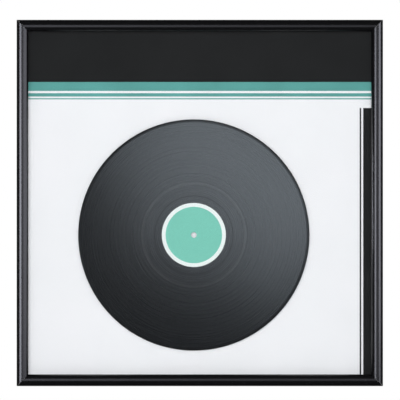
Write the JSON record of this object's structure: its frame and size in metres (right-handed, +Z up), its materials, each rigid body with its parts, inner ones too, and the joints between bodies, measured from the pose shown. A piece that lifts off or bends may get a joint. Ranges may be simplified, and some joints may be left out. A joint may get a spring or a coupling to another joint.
{
  "type": "vinyl record frame",
  "caption": "Square black wall frame with mitred domed rails and a glazed front, showing a vinyl record mounted on a printed card; swivelling turn buttons hold the back in.",
  "frame": {"origin": "the hanging point: on the wall, midway between the two sawtooth hangers, at the height of their notches", "axes": "+X to the right seen from the front, +Y towards the wall, +Z up; the glazed front faces -Y"},
  "size_m": [0.4774, 0.0222, 0.4775],
  "materials": {
    "black_lacquer": "semi-gloss black lacquer on the moulding",
    "clear_glass": "clear, polished",
    "black_strip": "matt",
    "printed_card": "smooth matt card, printed on the front",
    "black_vinyl": "glossy, with fine grooves",
    "label_paper": "uncoated, printed",
    "plain_paper": "uncoated",
    "white_foam": "soft foam",
    "brown_hardboard": "smooth pressed hardboard",
    "blued_steel": "oiled strip steel",
    "zinc_steel": "zinc plated",
    "brass_plate": "thin bright plating",
    "grey_rubber": "soft, translucent"
  },
  "bodies": {
    "frame": {"rail_top": "black_lacquer", "rail_right": "black_lacquer", "rail_bottom": "black_lacquer", "rail_left": "black_lacquer", "v_nail_top_right_outer": "blued_steel", "v_nail_top_right_inner": "blued_steel", "v_nail_bottom_right_outer": "blued_steel", "v_nail_bottom_right_inner": "blued_steel", "v_nail_bottom_left_outer": "blued_steel", "v_nail_bottom_left_inner": "blued_steel", "v_nail_top_left_outer": "blued_steel", "v_nail_top_left_inner": "blued_steel", "front_pane": "clear_glass", "spacer_top": "black_strip", "spacer_right": "black_strip", "spacer_bottom": "black_strip", "spacer_left": "black_strip", "insert_card": "printed_card", "record_disc": "black_vinyl", "record_label_front": "label_paper", "record_label_back": "plain_paper", "foam_pad_top_right": "white_foam", "foam_pad_bottom_right": "white_foam", "foam_pad_bottom_left": "white_foam", "foam_pad_top_left": "white_foam", "backing_board": "brown_hardboard", "button_screw_top_right": "zinc_steel", "button_screw_top_left": "zinc_steel", "button_screw_right_lower": "zinc_steel", "button_screw_right_upper": "zinc_steel", "button_screw_bottom_left": "zinc_steel", "button_screw_bottom_right": "zinc_steel", "button_screw_left_upper": "zinc_steel", "button_screw_left_lower": "zinc_steel", "hanger_right": "brass_plate", "hanger_left": "brass_plate", "hanger_nail_right_outer": "brass_plate", "hanger_nail_right_inner": "brass_plate", "hanger_nail_left_outer": "brass_plate", "hanger_nail_left_inner": "brass_plate", "bumper_right": "grey_rubber", "bumper_left": "grey_rubber"},
    "button_top_right": {"turn_button_top_right": "zinc_steel"},
    "button_top_left": {"turn_button_top_left": "zinc_steel"},
    "button_right_lower": {"turn_button_right_lower": "zinc_steel"},
    "button_right_upper": {"turn_button_right_upper": "zinc_steel"},
    "button_bottom_left": {"turn_button_bottom_left": "zinc_steel"},
    "button_bottom_right": {"turn_button_bottom_right": "zinc_steel"},
    "button_left_upper": {"turn_button_left_upper": "zinc_steel"},
    "button_left_lower": {"turn_button_left_lower": "zinc_steel"}
  },
  "joints": [
    {"name": "turn_top_right", "type": "hinge", "parent": "frame", "child": "button_top_right", "pos_m": [0.12412, -0.0025, 0.0025], "axis": [0, 1, 0], "continuous": true},
    {"name": "turn_top_left", "type": "hinge", "parent": "frame", "child": "button_top_left", "pos_m": [-0.12412, -0.0025, 0.0025], "axis": [0, 1, 0], "continuous": true},
    {"name": "turn_right_lower", "type": "hinge", "parent": "frame", "child": "button_right_lower", "pos_m": [0.23385, -0.0025, -0.35547], "axis": [0, 1, 0], "continuous": true},
    {"name": "turn_right_upper", "type": "hinge", "parent": "frame", "child": "button_right_upper", "pos_m": [0.23385, -0.0025, -0.10723], "axis": [0, 1, 0], "continuous": true},
    {"name": "turn_bottom_left", "type": "hinge", "parent": "frame", "child": "button_bottom_left", "pos_m": [-0.12412, -0.0025, -0.4652], "axis": [0, 1, 0], "continuous": true},
    {"name": "turn_bottom_right", "type": "hinge", "parent": "frame", "child": "button_bottom_right", "pos_m": [0.12412, -0.0025, -0.4652], "axis": [0, 1, 0], "continuous": true},
    {"name": "turn_left_upper", "type": "hinge", "parent": "frame", "child": "button_left_upper", "pos_m": [-0.23385, -0.0025, -0.10723], "axis": [0, 1, 0], "continuous": true},
    {"name": "turn_left_lower", "type": "hinge", "parent": "frame", "child": "button_left_lower", "pos_m": [-0.23385, -0.0025, -0.35547], "axis": [0, 1, 0], "continuous": true}
  ]
}
